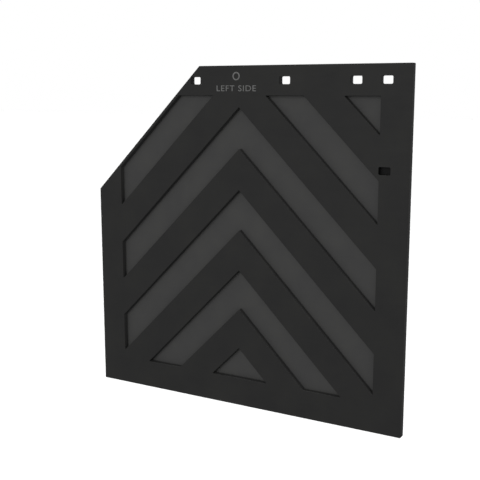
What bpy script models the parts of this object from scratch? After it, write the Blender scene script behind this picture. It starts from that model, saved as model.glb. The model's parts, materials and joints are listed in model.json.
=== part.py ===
"""Moulded rubber mud flap for a truck, left-hand pattern with a cut upper corner.

The flap is one moulding.  It is modelled here as the members that the mould forms: a thick
mounting band with four bolt slots, a thin web behind everything, raised borders along the
edges, and raised chevron ribs between the pockets.  The members meet with a hairline gap.
A flex line under the band parts the clamped members from the ones that swing.

Frame: metres, +Z up.  The ribbed face looks along -Y and the plain back face lies at y = 0.
The origin is on the back face, at mid width, on the row of bolt slots.
"""

import math

import bmesh
import bpy
import numpy as np

# Driving dimensions
INCH = 0.0254
WIDTH = 24.3 * INCH
HEIGHT = 24.0 * INCH
THICKNESS = 0.5 * INCH
WEB = 0.125 * INCH
BAND_HEIGHT = 2.0 * INCH
BORDER = 2.0 * INCH
CORNER_CUT = 9.0 * INCH
GAP = 0.0003

# Chevron pattern: 45 degree lines, one stripe width apart, alternating rib and pocket
STRIPE = 2.0 * INCH
FIRST_LINE = 1.5
CHEVRON_LINES = ((0, 1), (2, 3), (4, 5), (6, 7))
CORNER_RIB_LINES = (8, 9)
CORNER_LIP_LINES = (8, None)
SIDES = {"left": -1, "right": 1}

# Slots
SLOT_WIDTH = 0.0203
SLOT_HEIGHT = 0.0127
SLOT_CORNER = 0.0023
SLOT_DROP = 1.0 * INCH
SLOTS_FROM_RIGHT = (0.0415, 0.0930, 0.2207, 0.3964)
BLIND_SLOT_DROP = 6.64 * INCH

# Flexing
FLEX_DROP = 0.0700
KNUCKLE_STEPS = 8
CORNER_STEPS = 6

# Worked out from the above
TOP = SLOT_DROP
BOTTOM = TOP - HEIGHT
LEFT = -WIDTH / 2
RIGHT = WIDTH / 2
INNER = RIGHT - BORDER
BAND_EDGE = TOP - BAND_HEIGHT
FRONT = -THICKNESS
MIDDLE = -THICKNESS / 2
WEB_FRONT = -WEB
RELIEF_BACK = WEB_FRONT - GAP
KNUCKLE = THICKNESS / 2
FLEX_LINE = BAND_EDGE - FLEX_DROP
CLAMPED_EDGE = FLEX_LINE + KNUCKLE + GAP
HINGE = (0.0, MIDDLE, FLEX_LINE)

PANEL = [
    (LEFT, BOTTOM),
    (RIGHT, BOTTOM),
    (RIGHT, TOP),
    (LEFT + CORNER_CUT, TOP),
    (LEFT, TOP - CORNER_CUT),
]


def clip(outline, a, b, limit):
    """The part of an (x, z) outline where a x + b z is at most limit."""
    kept = []
    for (x0, z0), (x1, z1) in zip(outline, outline[1:] + outline[:1]):
        d0 = a * x0 + b * z0 - limit
        d1 = a * x1 + b * z1 - limit
        if d0 <= 0:
            kept.append((x0, z0))
        if d0 * d1 < 0:
            t = d0 / (d0 - d1)
            kept.append((x0 + t * (x1 - x0), z0 + t * (z1 - z0)))
    return kept


def below(outline, height):
    return clip(outline, 0, 1, height)


def above(outline, height):
    return clip(outline, 0, -1, -height)


def within(outline, low, high):
    """The part of an outline between two x values."""
    return clip(clip(outline, 1, 0, high), -1, 0, -low)


def line_height(number):
    """Height at mid width of a chevron line, counted from the lowest one."""
    return BOTTOM + math.sqrt(2) * STRIPE * (number + FIRST_LINE)


def leg(side, low, high):
    """One leg of a chevron between two line numbers, on the side of that sign.

    It is mitred at mid width and cut off by the borders.  A high of None runs to the
    edge of the panel.
    """
    outline = clip(PANEL, -side, -1, -line_height(low))
    if high is not None:
        outline = clip(outline, side, 1, line_height(high))
    outline = within(outline, *sorted((side * GAP / 2, side * (INNER - GAP))))
    return above(outline, BOTTOM + BORDER + GAP)


def loft(name, sections, material, hinge=None):
    """A closed solid through outlines of the same point count at growing y.

    sections is a list of (y, outline).  With a hinge, the mesh is kept relative to it.
    """
    mesh = bpy.data.meshes.new(name)
    bm = bmesh.new()
    base = hinge.location if hinge else (0, 0, 0)
    loops = []
    for y, outline in sections:
        loops.append([bm.verts.new((x - base[0], y - base[1], z - base[2])) for x, z in outline])
    bm.faces.new(loops[0])
    bm.faces.new(loops[-1][::-1])
    for front, back in zip(loops, loops[1:]):
        for i in range(len(front)):
            j = (i + 1) % len(front)
            bm.faces.new((front[i], back[i], back[j], front[j]))
    bmesh.ops.recalc_face_normals(bm, faces=bm.faces)
    bm.to_mesh(mesh)
    bm.free()
    mesh.materials.append(material)
    piece = bpy.data.objects.new(name, mesh)
    bpy.context.scene.collection.objects.link(piece)
    piece.parent = hinge
    return piece


def slab(name, outline, y0, y1, material, hinge=None):
    """An outline extruded from y0 to y1."""
    return loft(name, [(y0, outline), (y1, outline)], material, hinge)


def swinging(name, outline, y0, y1, material, hinge):
    """A slab that swings.

    Where it reaches the flex line, its top edge is rounded about the hinge, so that it
    rolls clear of the clamped members.
    """
    reaches = max(z for _, z in outline) > FLEX_LINE
    start = math.asin((y0 - MIDDLE) / KNUCKLE)
    end = math.asin((y1 - MIDDLE) / KNUCKLE)
    sections = []
    for angle in np.linspace(start, end, KNUCKLE_STEPS if reaches else 2):
        height = FLEX_LINE + KNUCKLE * math.cos(angle)
        sections.append((MIDDLE + KNUCKLE * math.sin(angle), below(outline, height)))
    return loft(name, sections, material, hinge)


def rounded_rectangle(x, z):
    """Outline of a slot centred on x, z."""
    outline = []
    for quarter, (sx, sz) in enumerate(((1, 1), (-1, 1), (-1, -1), (1, -1))):
        centre_x = x + sx * (SLOT_WIDTH / 2 - SLOT_CORNER)
        centre_z = z + sz * (SLOT_HEIGHT / 2 - SLOT_CORNER)
        for step in range(CORNER_STEPS + 1):
            angle = math.pi / 2 * (quarter + step / CORNER_STEPS)
            outline.append((centre_x + SLOT_CORNER * math.cos(angle), centre_z + SLOT_CORNER * math.sin(angle)))
    return outline


def cut_slot(piece, number, x, z, hinge=None):
    """Cuts a slot right through a piece."""
    cutter = slab(f"slot_cutter_{number}", rounded_rectangle(x, z), 2 * FRONT, THICKNESS, None, hinge)
    cutter.hide_render = True
    cutter.display_type = "WIRE"
    cut = piece.modifiers.new(f"slot_{number}", "BOOLEAN")
    cut.operation = "DIFFERENCE"
    cut.solver = "EXACT"
    cut.object = cutter


def rubber(name, colour, roughness):
    """Moulded black rubber."""
    material = bpy.data.materials.new(name)
    material.use_nodes = True
    shader = material.node_tree.nodes["Principled BSDF"]
    shader.inputs["Base Color"].default_value = (*colour, 1)
    shader.inputs["Roughness"].default_value = roughness
    shader.inputs["Metallic"].default_value = 0.0
    return material


def clamped_members(relief, web):
    """The members above the flex line, which the hanger holds still."""
    band = slab("mounting_band", above(PANEL, BAND_EDGE), FRONT, 0, relief)
    for number, offset in enumerate(SLOTS_FROM_RIGHT, start=1):
        cut_slot(band, number, RIGHT - offset, 0)
    outlines = {
        "upper_corner_rib": leg(1, *CORNER_RIB_LINES),
        "upper_corner_lip": leg(-1, *CORNER_LIP_LINES),
        "upper_right_border": within(PANEL, INNER, RIGHT),
    }
    for hand, side in SIDES.items():
        outlines[f"upper_chevron_{hand}_leg"] = leg(side, *CHEVRON_LINES[-1])
    for name, outline in outlines.items():
        strip = below(above(outline, CLAMPED_EDGE), BAND_EDGE - GAP)
        slab(name, strip, FRONT, RELIEF_BACK, relief)
    strip = below(above(PANEL, CLAMPED_EDGE), BAND_EDGE - GAP)
    slab("upper_web", strip, WEB_FRONT, 0, web)


def hanging_members(relief, web, hinge):
    """The members below the flex line, which swing together."""
    outlines = {
        "left_border": within(PANEL, LEFT, -INNER),
        "right_border": within(PANEL, INNER, RIGHT),
        "bottom_border": below(within(PANEL, -INNER + GAP, INNER - GAP), BOTTOM + BORDER),
        "corner_rib": leg(1, *CORNER_RIB_LINES),
        "corner_lip": leg(-1, *CORNER_LIP_LINES),
    }
    for number, lines in enumerate(CHEVRON_LINES, start=1):
        for hand, side in SIDES.items():
            outlines[f"chevron_{number}_{hand}_leg"] = leg(side, *lines)
    for name, outline in outlines.items():
        piece = swinging(name, outline, FRONT, RELIEF_BACK, relief, hinge)
        if name == "right_border":
            blind_slot = len(SLOTS_FROM_RIGHT) + 1
            cut_slot(piece, blind_slot, RIGHT - SLOTS_FROM_RIGHT[0], TOP - BLIND_SLOT_DROP, hinge)
    swinging("lower_web", PANEL, WEB_FRONT, 0, web, hinge)


def main():
    for leftover in list(bpy.data.objects):
        bpy.data.objects.remove(leftover)
    relief = rubber("relief_rubber", (0.026, 0.026, 0.026), 0.55)
    web = rubber("web_rubber", (0.048, 0.048, 0.048), 0.65)
    hinge = bpy.data.objects.new("flap_flex_axis", None)
    hinge.location = HINGE
    bpy.context.scene.collection.objects.link(hinge)
    clamped_members(relief, web)
    hanging_members(relief, web, hinge)


main()
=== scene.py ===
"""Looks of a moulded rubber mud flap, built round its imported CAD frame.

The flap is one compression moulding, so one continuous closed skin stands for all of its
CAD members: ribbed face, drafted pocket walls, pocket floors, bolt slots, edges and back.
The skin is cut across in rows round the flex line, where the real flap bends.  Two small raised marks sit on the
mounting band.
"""

import json
import logging
import math
from collections.abc import Iterable
from dataclasses import dataclass
from enum import Enum

import bmesh
import bpy
import numpy as np
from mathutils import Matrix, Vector
from mathutils.geometry import tessellate_polygon


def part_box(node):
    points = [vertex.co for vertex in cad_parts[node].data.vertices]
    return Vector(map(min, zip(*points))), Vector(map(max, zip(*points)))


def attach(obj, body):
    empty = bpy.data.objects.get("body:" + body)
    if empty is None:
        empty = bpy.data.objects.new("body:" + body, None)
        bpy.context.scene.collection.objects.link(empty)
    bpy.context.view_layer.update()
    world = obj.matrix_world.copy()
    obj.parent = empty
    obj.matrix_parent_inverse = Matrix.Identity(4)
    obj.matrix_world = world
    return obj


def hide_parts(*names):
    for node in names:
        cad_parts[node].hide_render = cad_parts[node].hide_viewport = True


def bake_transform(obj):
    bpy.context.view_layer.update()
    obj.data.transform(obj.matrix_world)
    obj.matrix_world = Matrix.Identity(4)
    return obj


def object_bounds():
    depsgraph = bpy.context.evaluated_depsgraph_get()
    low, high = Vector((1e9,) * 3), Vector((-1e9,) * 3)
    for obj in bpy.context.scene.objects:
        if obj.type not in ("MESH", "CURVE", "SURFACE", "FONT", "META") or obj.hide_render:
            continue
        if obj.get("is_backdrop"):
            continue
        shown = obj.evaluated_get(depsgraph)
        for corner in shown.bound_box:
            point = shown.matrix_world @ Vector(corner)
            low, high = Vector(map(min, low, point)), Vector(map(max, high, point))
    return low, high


LOG = logging.getLogger("mud_flap")
MM = 0.001
SHARPEST = 0.2 * MM

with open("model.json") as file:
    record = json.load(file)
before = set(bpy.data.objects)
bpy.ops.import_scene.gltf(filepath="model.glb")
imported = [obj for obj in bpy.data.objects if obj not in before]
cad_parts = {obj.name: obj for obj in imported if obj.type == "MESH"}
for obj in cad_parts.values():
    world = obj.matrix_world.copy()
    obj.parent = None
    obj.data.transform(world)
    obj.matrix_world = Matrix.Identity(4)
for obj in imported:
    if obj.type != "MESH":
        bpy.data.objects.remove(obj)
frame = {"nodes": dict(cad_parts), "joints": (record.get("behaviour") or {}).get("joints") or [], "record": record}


class Finish(Enum):
    """The finishes of the moulding, in the order of its material slots.

    RELIEF is the raised face, the edges, the bolt slots and the back, POCKET a pocket's
    floor and its down-facing walls, which keep the floor's lighter colour as painted light,
    WALL its other walls, in a darker copy of the floor rubber that paints shade on them, and
    SEAT the inside of the blind slot, painted dark as shade in that recess.
    """

    RELIEF = 0
    POCKET = 1
    WALL = 2
    SEAT = 3


class Side(Enum):
    """The hand of a chevron leg, as the ribbed face is seen."""

    LEFT = -1
    RIGHT = 1


# --------------------------------------------------------------------------- outlines


def inset(outline: np.ndarray, distance: float) -> np.ndarray:
    """Moves every edge of an outline inwards by one distance, with mitred corners.

    Each corner moves along the sum of its two edge normals, divided by one plus their
    scalar product.

    Args:
        outline: corners as (n, 2) of x and z, counterclockwise.
        distance: metres; a negative one moves the edges outwards.

    Returns:
        The moved corners, as (n, 2).
    """
    edge = np.roll(outline, -1, axis=0) - outline
    edge /= np.linalg.norm(edge, axis=1, keepdims=True)
    after = np.stack((-edge[:, 1], edge[:, 0]), axis=1)
    before = np.roll(after, 1, axis=0)
    spread = 1 + np.sum(before * after, axis=1, keepdims=True)
    return outline + distance * (before + after) / spread


def turning(outline: np.ndarray) -> np.ndarray:
    """Sign of each corner's turn: +1 where the outline bulges out, -1 where it folds in."""
    into = outline - np.roll(outline, 1, axis=0)
    out = np.roll(outline, -1, axis=0) - outline
    return np.sign(into[:, 0] * out[:, 1] - into[:, 1] * out[:, 0])


def corner_arcs(
    corner: np.ndarray, before: np.ndarray, after: np.ndarray, radius: np.ndarray, steps: int
) -> np.ndarray:
    """Rounds corners with arcs that touch both neighbouring edges.

    An arc starts radius / tan(half angle) from its corner, and its centre is
    radius / sin(half angle) away along the bisector.

    Args:
        corner: the corners, as (n, 2).
        before: the point that each corner's first edge comes from, as (n, 2).
        after: the point that each corner's second edge goes to, as (n, 2).
        radius: one radius for each corner, in metres.
        steps: facets in each arc.

    Returns:
        Points as (n, steps + 1, 2).
    """
    back = before - corner
    back /= np.linalg.norm(back, axis=1, keepdims=True)
    ahead = after - corner
    ahead /= np.linalg.norm(ahead, axis=1, keepdims=True)
    half = np.arccos(np.clip(np.sum(back * ahead, axis=1), -1, 1)) / 2
    reach = (radius / np.tan(half))[:, None]
    bisector = back + ahead
    bisector /= np.linalg.norm(bisector, axis=1, keepdims=True)
    centre = corner + bisector * (radius / np.sin(half))[:, None]
    first = corner + back * reach - centre
    last = corner + ahead * reach - centre
    start = np.arctan2(first[:, 1], first[:, 0])
    sweep = np.arctan2(last[:, 1], last[:, 0]) - start
    sweep = (sweep + np.pi) % (2 * np.pi) - np.pi
    angle = start[:, None] + sweep[:, None] * np.linspace(0, 1, steps + 1)
    arc = np.stack((np.cos(angle), np.sin(angle)), axis=2)
    return centre[:, None] + radius[:, None, None] * arc


def rounded_ring(outline: np.ndarray, distance: float, radius: float, steps: int) -> np.ndarray:
    """An outline inset by a distance, with corners that stay parallel to the first ones.

    Args:
        outline: sharp corners, counterclockwise, as (n, 2).
        distance: inset in metres, negative outwards.
        radius: plan radius of every corner where the inset is nought; none gets under SHARPEST.
        steps: facets in each corner.

    Returns:
        Points as (n * (steps + 1), 2).
    """
    corner = inset(outline, distance)
    radii = np.maximum(radius - turning(outline) * distance, SHARPEST)
    arcs = corner_arcs(corner, np.roll(corner, 1, axis=0), np.roll(corner, -1, axis=0), radii, steps)
    return arcs.reshape(-1, 2)


def rounded_section(points: np.ndarray, radii: np.ndarray, steps: int) -> np.ndarray:
    """An open cross-section with its inner corners rounded.

    Args:
        points: the section's corners as (n, 2) of inset and y.
        radii: one radius for each of the n - 2 inner corners.
        steps: facets in each corner.

    Returns:
        Points as (m, 2), ends included.
    """
    arcs = corner_arcs(points[1:-1], points[:-2], points[2:], radii, steps)
    return np.vstack((points[:1], arcs.reshape(-1, 2), points[-1:]))


def facing_down(outline: np.ndarray, steps: int) -> np.ndarray:
    """Numbers of a pocket's straight walls that face down, in a ring from rounded_ring.

    Args:
        outline: the pocket's sharp corners, counterclockwise, as (n, 2).
        steps: facets in each rounded corner.

    Returns:
        The places of those walls among the ring's sides.
    """
    run = np.roll(outline, -1, axis=0) - outline
    leftwards = np.isclose(run[:, 0], -np.linalg.norm(run, axis=1))
    return (np.flatnonzero(leftwards) + 1) * (steps + 1) - 1


def rectangle(centre: tuple[float, float], width: float, height: float) -> np.ndarray:
    """Corners of an upright rectangle, counterclockwise, as (4, 2)."""
    signs = np.array(((-1, -1), (1, -1), (1, 1), (-1, 1)))
    return np.array(centre) + signs * (width / 2, height / 2)


# --------------------------------------------------------------------------- meshes


class SkinMesh:
    """One closed mesh, put together from rings of points, strips between them and lids."""

    def __init__(self) -> None:
        """Starts with no points."""
        self.points: list[np.ndarray] = []
        self.wear: list[np.ndarray] = []
        self.faces: list[np.ndarray] = []
        self.finishes: list[np.ndarray] = []
        self.count = 0

    def ring(self, outline: np.ndarray, y: float, wear: float) -> np.ndarray:
        """Adds a closed ring of points at one y.

        Args:
            outline: points as (n, 2) of x and z.
            y: the plane that they lie in.
            wear: from 0 to 1, how far handling has polished this line.

        Returns:
            The new points' numbers.
        """
        self.points.append(np.column_stack((outline[:, 0], np.full(len(outline), y), outline[:, 1])))
        self.wear.append(np.full(len(outline), wear))
        numbers = np.arange(self.count, self.count + len(outline))
        self.count += len(outline)
        return numbers

    def strip(self, first: np.ndarray, second: np.ndarray, finishes: np.ndarray) -> None:
        """Joins two rings of the same point count with quads, each with a finish of its own."""
        quads = np.stack((first, np.roll(first, -1), np.roll(second, -1), second), axis=1)
        self.faces.append(quads)
        self.finishes.append(finishes)

    def lid(self, rings: list[np.ndarray], finish: Finish) -> None:
        """Fills the flat area inside the first ring and outside the others."""
        points = np.vstack(self.points) * (1, 0, 1)
        loops = [list(map(Vector, points[ring][:, (0, 2, 1)].tolist())) for ring in rings]
        numbers = np.concatenate(rings)
        triangles = numbers[np.array(tessellate_polygon(loops))]
        self.faces.append(triangles)
        self.finishes.append(np.full(len(triangles), finish.value))

    def sweep(self, outline: np.ndarray, section: "Section") -> tuple[np.ndarray, np.ndarray]:
        """Carries a cross-section round an outline.

        A pocket's walls get a darker copy of the floor's finish, which paints shade on them,
        except those that face down, which keep the floor's lighter one as painted light.

        Args:
            outline: sharp corners, counterclockwise, as (n, 2).
            section: the cross-section, in inset and y.

        Returns:
            The point numbers of its first and last rings.
        """
        rings = [
            self.ring(rounded_ring(outline, distance, section.plan_radius, section.plan_steps), y, wear)
            for distance, y, wear in section.stations()
        ]
        shoulder = np.full(len(rings[0]), Finish.RELIEF.value)
        wall = np.full(len(rings[0]), section.finish.value)
        # The wall finish paints shade on a pocket's walls; down-facing ones keep the floor's lighter colour as
        # painted light.
        if section.finish is Finish.WALL:
            wall[facing_down(outline, section.plan_steps)] = Finish.POCKET.value
        for number, (first, second) in enumerate(zip(rings, rings[1:])):
            self.strip(first, second, wall if number > section.steps else shoulder)
        return rings[0], rings[-1]

    def build(self, name: str, rows: np.ndarray) -> bpy.types.Object:
        """Makes the object, cut across at the given heights so that it can bend there.

        Args:
            name: the object's name.
            rows: heights in metres.

        Returns:
            The new object, smooth, with faces pointing out and an edge_wear attribute.
        """
        mesh = bpy.data.meshes.new(name)
        faces = [face for block in self.faces for face in block.tolist()]
        mesh.from_pydata(np.vstack(self.points).tolist(), [], faces)
        mesh.polygons.foreach_set("material_index", np.concatenate(self.finishes).astype(np.int32))
        wear = mesh.attributes.new("edge_wear", "FLOAT", "POINT")
        wear.data.foreach_set("value", np.concatenate(self.wear))
        face_outwards(mesh, rows=rows)
        mesh.polygons.foreach_set("use_smooth", np.ones(len(mesh.polygons), bool))
        return link(name, mesh)


def face_outwards(mesh: bpy.types.Mesh, merge: float = 0.0, rows: Iterable[float] = ()) -> None:
    """Turns every face of a closed mesh outwards.

    Args:
        mesh: the mesh, changed in place.
        merge: points closer than this become one first; nought leaves them all.
        rows: heights at which the mesh is cut across first.
    """
    bm = bmesh.new()
    bm.from_mesh(mesh)
    if merge:
        bmesh.ops.remove_doubles(bm, verts=bm.verts, dist=merge)
    for height in rows:
        parts = [*bm.verts, *bm.edges, *bm.faces]
        bmesh.ops.bisect_plane(bm, geom=parts, dist=1e-6, plane_co=(0, 0, height), plane_no=(0, 0, 1))
    bmesh.ops.recalc_face_normals(bm, faces=bm.faces)
    bm.to_mesh(mesh)
    bm.free()


def link(name: str, mesh: bpy.types.Mesh) -> bpy.types.Object:
    """Puts a mesh into the scene as an object at the origin."""
    piece = bpy.data.objects.new(name, mesh)
    bpy.context.scene.collection.objects.link(piece)
    return piece


@dataclass(frozen=True)
class Section:
    """A cross-section that is carried round an outline, in inset and y.

    Attributes:
        corners: the sharp section, as pairs of inset and y.
        radii: the radius of each corner but the two ends.
        plan_radius: radius of the outline's own corners.
        plan_steps: facets in each of those.
        polish: how worn the first rounded corner is.
        steps: facets in each rounded corner.
        finish: what the section is finished with after its first rounded corner.
    """

    corners: tuple[tuple[float, float], ...]
    radii: tuple[float, ...]
    plan_radius: float
    plan_steps: int = 6
    polish: float = 0.0
    steps: int = 4
    finish: Finish = Finish.RELIEF

    def stations(self) -> list[tuple[float, float, float]]:
        """The section's points as inset, y and wear."""
        points = rounded_section(np.array(self.corners, float), np.array(self.radii, float), self.steps)
        wear = np.zeros(len(points))
        wear[1 : self.steps + 2] = self.polish
        return list(zip(points[:, 0].tolist(), points[:, 1].tolist(), wear.tolist()))


# --------------------------------------------------------------------------- materials


def linear(value: str) -> tuple[float, float, float, float]:
    """Turns an sRGB hex colour into linear RGBA."""
    channels = [int(value[i : i + 2], 16) / 255 for i in (1, 3, 5)]
    flat = [c / 12.92 if c <= 0.04045 else ((c + 0.055) / 1.055) ** 2.4 for c in channels]
    return (*flat, 1.0)


def add_node(
    tree: bpy.types.NodeTree, kind: str, settings: dict | None = None, **links: object
) -> bpy.types.Node:
    """Adds a node with its settings and links.

    Args:
        tree: the node tree.
        kind: the node's type.
        settings: property names, or input sockets' names or numbers, and their values.
        links: the output socket for each input, by name with _ for a space, or by i0, i1 and on.

    Returns:
        The new node.
    """
    node = tree.nodes.new(kind)
    for key, value in (settings or {}).items():
        if isinstance(key, str) and hasattr(node, key):
            setattr(node, key, value)
        else:
            node.inputs[key].default_value = value
    for key, output in links.items():
        socket = int(key[1:]) if key[0] == "i" and key[1:].isdigit() else key.replace("_", " ")
        tree.links.new(output, node.inputs[socket])
    return node


@dataclass(frozen=True)
class MouldedRubber:
    """Carbon-black filled rubber, compression moulded against a fine eroded steel tool.

    It is nearly black, with a faint dull sheen.  A waxy bloom greys it in soft clouds, the
    tool's grain breaks the sheen up, and handling polishes the raised edges.

    Attributes:
        name: the material's name.
        body: the rubber's own colour.
        bloom: its colour where the bloom is thickest.
        roughness: mean roughness.
        sheen_level: strength of the dull reflection, as a specular level.
        grain_mm: grain spacing; the real one is near 0.3, drawn coarser so that it shows.
        grain_depth_mm: height of the grain.
        cloud_mm: size of the bloom's clouds.
        flow_mm: length of the streaks that the rubber leaves where it flowed in the mould.
        flow_tilt: degrees by which those streaks slant.
        flow_slimness: how many times longer than wide they are.
        flow_dulling: how much roughness a streak adds.
        wear_polish: how much roughness handling takes off a raised edge.
        drag: the grain's frequency along y against the others; a small one draws the grain out
            into the scores that a wall gets as the flap leaves the mould.
    """

    name: str
    body: str
    bloom: str
    roughness: float
    sheen_level: float
    grain_mm: float = 1.6
    grain_depth_mm: float = 0.03
    cloud_mm: float = 70.0
    flow_mm: float = 45.0
    flow_tilt: float = 38.0
    flow_slimness: float = 7.0
    flow_dulling: float = 0.14
    wear_polish: float = 0.15
    drag: float = 1.0

    def make(self) -> bpy.types.Material:
        """Builds the node tree."""
        material = bpy.data.materials.new(self.name)
        material.use_nodes = True
        tree = material.node_tree
        tree.nodes.clear()
        place = add_node(tree, "ShaderNodeTexCoord").outputs["Object"]
        clouds = add_node(
            tree,
            "ShaderNodeTexNoise",
            {"Scale": 1 / (self.cloud_mm * MM), "Detail": 5.0, "Roughness": 0.6},
            Vector=place,
        ).outputs["Fac"]
        drawn = add_node(tree, "ShaderNodeMapping", {"Scale": (1.0, self.drag, 1.0)}, Vector=place)
        grain = add_node(
            tree,
            "ShaderNodeTexNoise",
            {"Scale": 1 / (self.grain_mm * MM), "Detail": 3.0, "Roughness": 0.55},
            Vector=drawn.outputs["Vector"],
        ).outputs["Fac"]
        tilt = (0.0, math.radians(self.flow_tilt), 0.0)
        slimness = (1.0, 1.0, self.flow_slimness)
        slanted = add_node(
            tree, "ShaderNodeMapping", {"Rotation": tilt, "Scale": slimness}, Vector=place
        )
        flow = add_node(
            tree,
            "ShaderNodeTexNoise",
            {"Scale": 1 / (self.flow_mm * MM), "Detail": 4.0, "Roughness": 0.5, "Distortion": 0.6},
            Vector=slanted.outputs["Vector"],
        ).outputs["Fac"]
        veil = add_node(
            tree, "ShaderNodeMapRange", {"From Min": 0.35, "From Max": 0.7}, Value=clouds
        ).outputs["Result"]
        colour = add_node(
            tree,
            "ShaderNodeMix",
            {"data_type": "RGBA", 6: linear(self.body), 7: linear(self.bloom)},
            i0=veil,
        ).outputs[2]
        worn = add_node(tree, "ShaderNodeAttribute", {"attribute_name": "edge_wear"}).outputs["Fac"]
        scuff = add_node(
            tree, "ShaderNodeMath", {"operation": "MULTIPLY"}, i0=worn, i1=grain
        ).outputs[0]
        colour = add_node(
            tree, "ShaderNodeMix", {"data_type": "RGBA", 7: linear(self.bloom)}, i0=scuff, i6=colour
        ).outputs[2]
        # The streaks add about 0.07 on average, so the grain's range is centred that much lower.
        smooth, rough = self.roughness - 0.13, self.roughness - 0.01
        dull = add_node(
            tree,
            "ShaderNodeMapRange",
            {"From Min": 0.3, "From Max": 0.7, "To Min": smooth, "To Max": rough},
            Value=grain,
        ).outputs["Result"]
        for pattern, weight in ((worn, -self.wear_polish), (flow, self.flow_dulling)):
            dull = add_node(
                tree, "ShaderNodeMath", {"operation": "MULTIPLY_ADD", 1: weight}, i0=pattern, i2=dull
            ).outputs[0]
        bump = add_node(
            tree,
            "ShaderNodeBump",
            {"Strength": 1.0, "Distance": self.grain_depth_mm * MM},
            Height=grain,
        ).outputs["Normal"]
        shader = add_node(
            tree,
            "ShaderNodeBsdfPrincipled",
            {"Specular IOR Level": self.sheen_level, "IOR": 1.5, "Metallic": 0.0},
            Base_Color=colour,
            Roughness=dull,
            Normal=bump,
        ).outputs["BSDF"]
        add_node(tree, "ShaderNodeOutputMaterial", Surface=shader)
        return material


RELIEF_RUBBER = MouldedRubber("moulded_relief_rubber", "#272727", "#2b2b2a", 0.60, 0.13)
POCKET_RUBBER = MouldedRubber("moulded_pocket_rubber", "#414141", "#454544", 0.65, 0.14, cloud_mm=55.0)
# Painted shade: the walls are coloured as a darker copy of the floor rubber; the drag draws real mould scores.
WALL_RUBBER = MouldedRubber("dragged_wall_rubber_painted_shade", "#353535", "#3b3b3a", 0.55, 0.14, drag=0.08)
# Painted shade: the blind slot's inside is coloured darker than the face, for the shade deep in that recess.
SEAT_RUBBER = MouldedRubber("unpolished_seat_rubber_painted_shade", "#161616", "#1a1a1a", 0.70, 0.12)
# The marks are coloured a lighter grey than the face.
LETTER_RUBBER = MouldedRubber(
    "pale_letter_rubber", "#5f5f5e", "#707070", 0.45, 0.30, cloud_mm=12.0
)


# --------------------------------------------------------------------------- the moulding


@dataclass(frozen=True)
class FlapFrame:
    """The flap's sizes and places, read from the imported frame, in metres.

    Attributes:
        left, right, bottom, top: the panel's sides.
        front, web_front, back: y of the raised face, the pockets' floors and the back face.
        border: width of the borders.
        band_edge: height of the mounting band's lower edge.
        cut: how much the cut corner takes off each side.
        first_line: height of the lowest chevron line at mid width.
        pitch: height between one chevron line and the next.
        flex_line: height of the joint.
        slots: centres of the bolt slots, in x and z.
        blind_slot: the same for the slot that doesn't go through.
    """

    left: float
    right: float
    bottom: float
    top: float
    front: float
    web_front: float
    back: float
    border: float
    band_edge: float
    cut: float
    first_line: float
    pitch: float
    flex_line: float
    slots: list[tuple[float, float]]
    blind_slot: tuple[float, float]

    @classmethod
    def read(cls) -> "FlapFrame":
        """Works every size out from the CAD nodes' boxes, the joint and the stated openings."""
        low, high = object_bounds()
        band_low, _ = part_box("mounting_band")
        web_low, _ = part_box("lower_web")
        _, border_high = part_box("left_border")
        peaks = [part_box(f"chevron_{number}_left_leg")[1].z for number in (1, 2, 3)]
        pitch = (peaks[2] - peaks[0]) / 4  # the first and third chevrons are four lines apart
        centres = {}
        for opening in frame["record"]["physics"]["openings"]:
            near, far = opening["box_m"]
            centres[opening["name"]] = ((near[0] + far[0]) / 2, (near[2] + far[2]) / 2)
        blind = centres.pop("blind_slot")
        return cls(
            left=low.x,
            right=high.x,
            bottom=low.z,
            top=high.z,
            front=low.y,
            web_front=web_low.y,
            back=high.y,
            border=border_high.x - low.x,
            band_edge=band_low.z,
            cut=band_low.x - low.x + high.z - band_low.z,
            first_line=peaks[0] - pitch,
            pitch=pitch,
            flex_line=frame["joints"][0]["pos_m"][2],
            slots=list(centres.values()),
            blind_slot=blind,
        )

    def outline(self) -> np.ndarray:
        """The whole panel's corners, counterclockwise."""
        return np.array(
            (
                (self.left, self.bottom),
                (self.right, self.bottom),
                (self.right, self.top),
                (self.left + self.cut, self.top),
                (self.left, self.top - self.cut),
            )
        )


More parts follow.
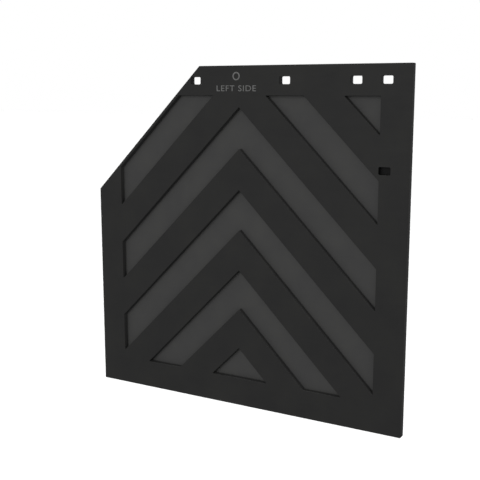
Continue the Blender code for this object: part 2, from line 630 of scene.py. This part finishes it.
@dataclass
class ChevronPockets:
    """The recessed pockets between the chevron ribs.

    All slanting sides lie on one family of 45 degree lines, z = line - |x|, one pitch
    apart, and pockets and ribs take turns between them.
    """

    flap: FlapFrame

    def line(self, number: int) -> float:
        """Height of a line at mid width."""
        return self.flap.first_line + number * self.flap.pitch

    def crown(self, number: int) -> tuple[float, float]:
        """Upper end of a line's right half: at mid width, or on the band's edge."""
        height = self.line(number)
        return (max(height - self.flap.band_edge, 0.0), min(height, self.flap.band_edge))

    def foot(self, number: int) -> tuple[float, float]:
        """Lower end of a line's right half: on the side border, or on the bottom one."""
        side = self.flap.right - self.flap.border
        floor = self.flap.bottom + self.flap.border
        height = self.line(number) - side
        return (side, height) if height > floor else (self.line(number) - floor, floor)

    def v_shaped(self, low: int, high: int) -> np.ndarray:
        """A pocket with two legs, between two lines that both peak under the band."""
        right = np.array((self.foot(high), self.crown(high)))
        left = np.array((self.crown(high), self.foot(high), self.foot(low), self.crown(low))) * (-1, 1)
        return np.vstack((right, left[1:], np.array((self.foot(low),))))

    def one_legged(self, side: Side, low: int, high: int) -> np.ndarray:
        """A pocket on one side of mid width, under the band."""
        corners = np.array((self.crown(low), self.foot(low), self.foot(high), self.crown(high)))
        return corners if side is Side.RIGHT else (corners * (-1, 1))[::-1]

    def all(self) -> list[np.ndarray]:
        """Every pocket's sharp outline, counterclockwise."""
        peak = np.array(self.crown(0))
        toe = np.array(self.foot(0))
        shoulder = (self.flap.right - self.flap.border, self.flap.band_edge)
        return [
            np.array((toe, peak, toe * (-1, 1))),
            self.v_shaped(1, 2),
            self.v_shaped(3, 4),
            self.v_shaped(5, 6),
            self.one_legged(Side.LEFT, 7, 8),
            self.one_legged(Side.RIGHT, 7, 8),
            np.array((self.crown(9), self.foot(9), shoulder)),
        ]


@dataclass
class Moulding:
    """The flap itself: one continuous skin of rubber.

    Attributes:
        flap: sizes from the frame.
        edge_radius: radius along the outer edges.
        rib_radius: radius along the ribs' shoulders.
        root_radius: radius where a pocket wall meets its floor.
        draft: how far a pocket wall leans inwards over its height.
        margin: flat width kept beside each radius, so that the flats shade flat.
        panel_corner: plan radius of the panel's corners.
        pocket_corner: plan radius of the pockets' corners.
        slot_size: width and height of a bolt slot.
        slot_corner: plan radius of its corners.
        slot_radius: radius along a slot's rim and round the blind slot's floor.
        slot_margin: flat width kept beside that radius.
        slot_steps: facets in it.
        bend_rows: cuts across the stretch that bends.
    """

    flap: FlapFrame
    edge_radius: float = 0.5 * MM
    rib_radius: float = 0.6 * MM
    root_radius: float = 0.8 * MM
    draft: float = 0.2 * MM
    margin: float = 0.35 * MM
    panel_corner: float = 1.5 * MM
    pocket_corner: float = 0.6 * MM
    slot_size: tuple[float, float] = (20.3 * MM, 12.7 * MM)
    slot_corner: float = 2.3 * MM
    slot_radius: float = 0.3 * MM
    slot_margin: float = 0.25 * MM
    slot_steps: int = 3
    bend_rows: int = 36

    def edge_section(self) -> Section:
        """From the front face over both outer edges to the back."""
        front, back = self.flap.front, self.flap.back
        flat = self.edge_radius + self.margin
        corners = ((flat, front), (0, front), (0, back), (flat, back))
        return Section(corners, (self.edge_radius, self.edge_radius), self.panel_corner, polish=0.1)

    def pocket_section(self) -> Section:
        """From the relief face down a drafted wall to the pocket's floor."""
        front, floor = self.flap.front, self.flap.web_front
        lip = -(self.rib_radius + self.margin)
        seat = self.draft + self.root_radius + self.margin
        corners = ((lip, front), (0, front), (self.draft, floor), (seat, floor))
        radii = (self.rib_radius, self.root_radius)
        return Section(corners, radii, self.pocket_corner, polish=0.15, finish=Finish.WALL)

    def slot_section(self, far: float, far_inset: float, finish: Finish) -> Section:
        """From the front face through a slot's rim to its far end.

        Args:
            far: y where the slot ends.
            far_inset: inset of the section's last point there.
            finish: what the slot is finished with inside.
        """
        front = self.flap.front
        corners = ((-self.slot_flat(), front), (0, front), (0, far), (far_inset, far))
        return Section(
            corners,
            (self.slot_radius, self.slot_radius),
            self.slot_corner,
            polish=0.3,
            steps=self.slot_steps,
            finish=finish,
        )

    def slot_flat(self) -> float:
        """How far a slot's rim reaches into the flat beside it."""
        return self.slot_radius + self.slot_margin

    def build(self) -> bpy.types.Object:
        """Builds the skin, with rows of cuts across the stretch that bends."""
        skin = SkinMesh()
        front_edge, back_edge = skin.sweep(self.flap.outline(), self.edge_section())
        front_holes, back_holes = [], []
        for outline in ChevronPockets(self.flap).all():
            shoulder, root = skin.sweep(outline, self.pocket_section())
            skin.lid([root], Finish.POCKET)
            front_holes.append(shoulder)
        through = self.slot_section(self.flap.back, -self.slot_flat(), Finish.RELIEF)
        for centre in self.flap.slots:
            near, far = skin.sweep(rectangle(centre, *self.slot_size), through)
            front_holes.append(near)
            back_holes.append(far)
        # The blind slot's inside takes the seat rubber, painted dark as shade.
        blind = self.slot_section(self.flap.web_front, self.slot_flat(), Finish.SEAT)
        mouth, seat = skin.sweep(rectangle(self.flap.blind_slot, *self.slot_size), blind)
        skin.lid([seat], Finish.SEAT)
        skin.lid([front_edge, mouth, *front_holes], Finish.RELIEF)
        skin.lid([back_edge, *back_holes], Finish.RELIEF)
        rows = np.linspace(self.flap.band_edge, self.bend_end(), self.bend_rows + 1)
        piece = skin.build("flap_moulding", rows)
        for rubber in (RELIEF_RUBBER, POCKET_RUBBER, WALL_RUBBER, SEAT_RUBBER):
            piece.data.materials.append(rubber.make())
        return piece

    def bend_end(self) -> float:
        """Height where the bend is complete, as far below the flex line as the band is above."""
        return 2 * self.flap.flex_line - self.flap.band_edge

    def attach(self, piece: bpy.types.Object) -> None:
        """Bakes the skin's place into its points, and hides every CAD member, as it stands for them all."""
        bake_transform(piece)
        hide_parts(*sorted(frame["nodes"]))


# --------------------------------------------------------------------------- raised marks


@dataclass
class BandMarks:
    """Raised marks that the mould leaves on the band: which side the flap is for, and a ring.

    Attributes:
        flap: sizes from the frame.
        words: plain fitting information.
        words_size: width and height of the line of letters.
        words_drop: how far its middle lies under the row of slots.
        letter_spacing: letter spacing, as a share of the font's own.
        letter_steps: facets in each curve of a letter.
        ring_rise: how far the ring's centre lies above that row.
        ring_radius: radius of the ring's own centre line.
        ring_width: width of its section.
        ring_steps: facets round the ring, and round its section.
        ring_bluntness: power of the sine and cosine that draw its section; under 1 it gets squarer.
        offset: both marks' distance from mid width.
        height: how far they stand out of the face.
    """

    flap: FlapFrame
    words: str = "LEFT SIDE"
    words_size: tuple[float, float] = (78 * MM, 10 * MM)
    words_drop: float = 13.2 * MM
    letter_spacing: float = 1.12
    letter_steps: int = 4
    ring_rise: float = 7.3 * MM
    ring_radius: float = 6.0 * MM
    ring_width: float = 2.4 * MM
    ring_steps: tuple[int, int] = (64, 16)
    ring_bluntness: float = 0.5
    offset: float = -5.0 * MM
    height: float = 0.5 * MM

    def build_words(self) -> bpy.types.Object:
        """Letters, extruded, fitted to their panel and sunk a little into the band."""
        curve = bpy.data.curves.new("side_words_curve", "FONT")
        curve.body = self.words
        curve.align_x = "CENTER"
        curve.space_character = self.letter_spacing
        curve.extrude = 0.5  # any depth will do, as the letters are fitted to their panel below
        curve.resolution_u = self.letter_steps
        holder = bpy.data.objects.new("side_words_curve", curve)
        bpy.context.scene.collection.objects.link(holder)
        bpy.context.view_layer.update()
        mesh = bpy.data.meshes.new_from_object(holder)
        bpy.data.objects.remove(holder)
        face_outwards(mesh, merge=1e-5)
        points = np.empty(len(mesh.vertices) * 3, np.float32)
        mesh.vertices.foreach_get("co", points)
        points = points.reshape(-1, 3)
        share = (points - points.min(0)) / (points.max(0) - points.min(0))
        x = self.offset + (share[:, 0] - 0.5) * self.words_size[0]
        y = self.flap.front - self.height + (1 - share[:, 2]) * 2 * self.height
        z = -self.words_drop + (share[:, 1] - 0.5) * self.words_size[1]
        mesh.vertices.foreach_set("co", np.column_stack((x, y, z)).astype(np.float32).ravel())
        mesh.update()
        return self.finish("side_words", mesh)

    def build_ring(self) -> bpy.types.Object:
        """A plain ring: a flat-topped section turned about its centre.

        The surface is a torus grid, radius plus width times a squared-off cosine by
        height times a squared-off sine.
        """
        around, across = (np.linspace(0, 2 * np.pi, steps, endpoint=False) for steps in self.ring_steps)
        turn, roll = np.meshgrid(around, across, indexing="ij")
        flat = np.sign(np.cos(roll)) * np.abs(np.cos(roll)) ** self.ring_bluntness
        rise = np.sign(np.sin(roll)) * np.abs(np.sin(roll)) ** self.ring_bluntness
        radius = self.ring_radius + flat * self.ring_width / 2
        x = self.offset + radius * np.cos(turn)
        y = self.flap.front - rise * self.height
        z = self.ring_rise + radius * np.sin(turn)
        index = np.arange(turn.size).reshape(turn.shape)
        next_turn = np.roll(index, -1, axis=0)
        corners = (index, next_turn, np.roll(next_turn, -1, axis=1), np.roll(index, -1, axis=1))
        quads = np.stack(corners, axis=-1).reshape(-1, 4)
        points = np.stack((x, y, z), axis=-1).reshape(-1, 3)
        mesh = bpy.data.meshes.new("mould_ring")
        mesh.from_pydata(points.tolist(), [], quads.tolist())
        face_outwards(mesh)
        mesh.polygons.foreach_set("use_smooth", np.ones(len(mesh.polygons), bool))
        return self.finish("mould_ring", mesh)

    def finish(self, name: str, mesh: bpy.types.Mesh) -> bpy.types.Object:
        """Dresses a mark and fixes it to the band."""
        mesh.materials.clear()
        mesh.materials.append(LETTER_RUBBER.make())
        piece = link(name, mesh)
        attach(piece, "mounting_band")
        return piece


# --------------------------------------------------------------------------- studio


@dataclass(frozen=True)
class Lamp:
    """A lamp that shines on the flap's centre.

    Attributes:
        name: the lamp's name.
        kind: Blender's light type.
        azimuth: degrees to the right of straight ahead of the ribbed face.
        elevation: degrees above the level.
        reach: distance from the flap's centre, in metres.
        settings: properties of the light and their values.
    """

    name: str
    kind: str
    azimuth: float
    elevation: float
    reach: float
    settings: dict[str, object]


CEILING_LAMP = Lamp("ceiling_lamp", "SUN", 0, 90, 3.0, {"energy": 2.6, "angle": math.radians(10)})
SOFTBOX = Lamp("softbox", "AREA", -4, 15, 4.0, {"energy": 58.0, "shape": "DISK", "size": 3.0})


@dataclass
class Studio:
    """A plain pale floor, soft light from all round, and the camera.

    Attributes:
        flap: sizes from the frame.
        azimuth: degrees to the right of straight ahead.
        elevation: degrees above the level.
        distance: from the flap's centre, in metres.
        lens: focal length in mm.
        sensor: width of the sensor in mm.
        lens_shift: how far the picture's middle lies off the lens's axis, in sensor widths.
        sight: nearest and furthest distance that the camera sees.
        floor_drop: how far the floor lies under the flap.
        floor_reach: half the floor's width.
        horizon: how brightly the white surroundings light the flap from its own level; the
            camera itself sees them at 1.
        zenith: the same, straight above and below.
    """

    flap: FlapFrame
    azimuth: float = 29.83
    elevation: float = 10.02
    distance: float = 1.515
    lens: float = 63.95
    sensor: float = 36.0
    lens_shift: tuple[float, float] = (-0.00104, 0.00104)
    sight: tuple[float, float] = (0.05, 100.0)
    floor_drop: float = 0.5
    floor_reach: float = 30.0
    horizon: float = 0.62
    zenith: float = 0.08

    def centre(self) -> Vector:
        """The middle of the flap's box."""
        low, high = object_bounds()
        return (low + high) / 2

    def away(self, azimuth: float, elevation: float) -> Vector:
        """Unit vector from the flap towards a viewer or a light."""
        turn, rise = math.radians(azimuth), math.radians(elevation)
        level = math.cos(rise)
        return Vector((math.sin(turn) * level, -math.cos(turn) * level, math.sin(rise)))

    def aim(self, thing: bpy.types.Object, way: Vector, reach: float) -> None:
        """Puts a camera or a lamp some way from the flap's centre, turned towards it."""
        thing.location = self.centre() + way * reach
        thing.rotation_mode = "QUATERNION"
        thing.rotation_quaternion = (-way).to_track_quat("-Z", "Y")
        bpy.context.scene.collection.objects.link(thing)

    def build_camera(self) -> None:
        """Aims the scene's camera at the flap's centre."""
        data = bpy.data.cameras.new("camera")
        data.lens = self.lens
        data.sensor_width = self.sensor
        data.shift_x, data.shift_y = self.lens_shift
        data.clip_start, data.clip_end = self.sight
        camera = bpy.data.objects.new("camera", data)
        self.aim(camera, self.away(self.azimuth, self.elevation), self.distance)
        bpy.context.scene.camera = camera

    def build_floor(self) -> None:
        """A wide plain floor, painted in a matt pale tone, that throws no light back up."""
        height = self.flap.bottom - self.floor_drop
        mesh = bpy.data.meshes.new("studio_floor")
        corners = rectangle((0.0, 0.0), 2 * self.floor_reach, 2 * self.floor_reach)
        mesh.from_pydata(np.column_stack((corners, np.full(4, height))).tolist(), [], [(0, 1, 2, 3)])
        material = bpy.data.materials.new("matt_floor_paint")
        material.use_nodes = True
        shader = material.node_tree.nodes["Principled BSDF"]
        shader.inputs["Base Color"].default_value = linear("#f6f6f6")
        shader.inputs["Roughness"].default_value = 0.9
        shader.inputs["Specular IOR Level"].default_value = 0.1
        mesh.materials.append(material)
        floor = link("studio_floor", mesh)
        floor.visible_diffuse = False
        floor.visible_glossy = False
        floor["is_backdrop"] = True

    def build_light(self) -> None:
        """White surroundings, a lamp straight above for the floor and a large softbox in front."""
        world = bpy.data.worlds.new("studio_surroundings")
        world.use_nodes = True
        tree = world.node_tree
        tree.nodes.clear()
        seen = add_node(tree, "ShaderNodeLightPath").outputs["Is Camera Ray"]
        direction = add_node(tree, "ShaderNodeTexCoord").outputs["Generated"]
        rise = add_node(tree, "ShaderNodeSeparateXYZ", Vector=direction).outputs["Z"]
        slope = add_node(tree, "ShaderNodeMath", {"operation": "MULTIPLY"}, i0=rise, i1=rise).outputs[0]
        levels = {"To Min": self.horizon, "To Max": self.zenith}
        lit = add_node(tree, "ShaderNodeMapRange", levels, Value=slope).outputs["Result"]
        strength = add_node(
            tree, "ShaderNodeMapRange", {"To Max": 1.0}, Value=seen, To_Min=lit
        ).outputs["Result"]
        glow = add_node(tree, "ShaderNodeBackground", {"Color": (1, 1, 1, 1)}, Strength=strength)
        add_node(tree, "ShaderNodeOutputWorld", Surface=glow.outputs["Background"])
        bpy.context.scene.world = world
        for lamp in (CEILING_LAMP, SOFTBOX):
            self.build_lamp(lamp)

    def build_lamp(self, lamp: Lamp) -> None:
        """Makes a lamp, with its settings, in its place."""
        data = bpy.data.lights.new(lamp.name, lamp.kind)
        for key, value in lamp.settings.items():
            setattr(data, key, value)
        piece = bpy.data.objects.new(lamp.name, data)
        self.aim(piece, self.away(lamp.azimuth, lamp.elevation), lamp.reach)

    def build(self) -> None:
        """Builds the camera, the floor and the light."""
        self.build_camera()
        self.build_floor()
        self.build_light()
        bpy.context.scene.view_settings.view_transform = "Standard"


def main() -> None:
    logging.basicConfig(level=logging.INFO)
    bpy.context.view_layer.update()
    flap = FlapFrame.read()
    Studio(flap).build()
    moulding = Moulding(flap)
    skin = moulding.build()
    moulding.attach(skin)
    marks = BandMarks(flap)
    for piece in (skin, marks.build_words(), marks.build_ring()):
        LOG.info("%s: %d faces", piece.name, len(piece.data.polygons))


if __name__ == "__main__":
    main()
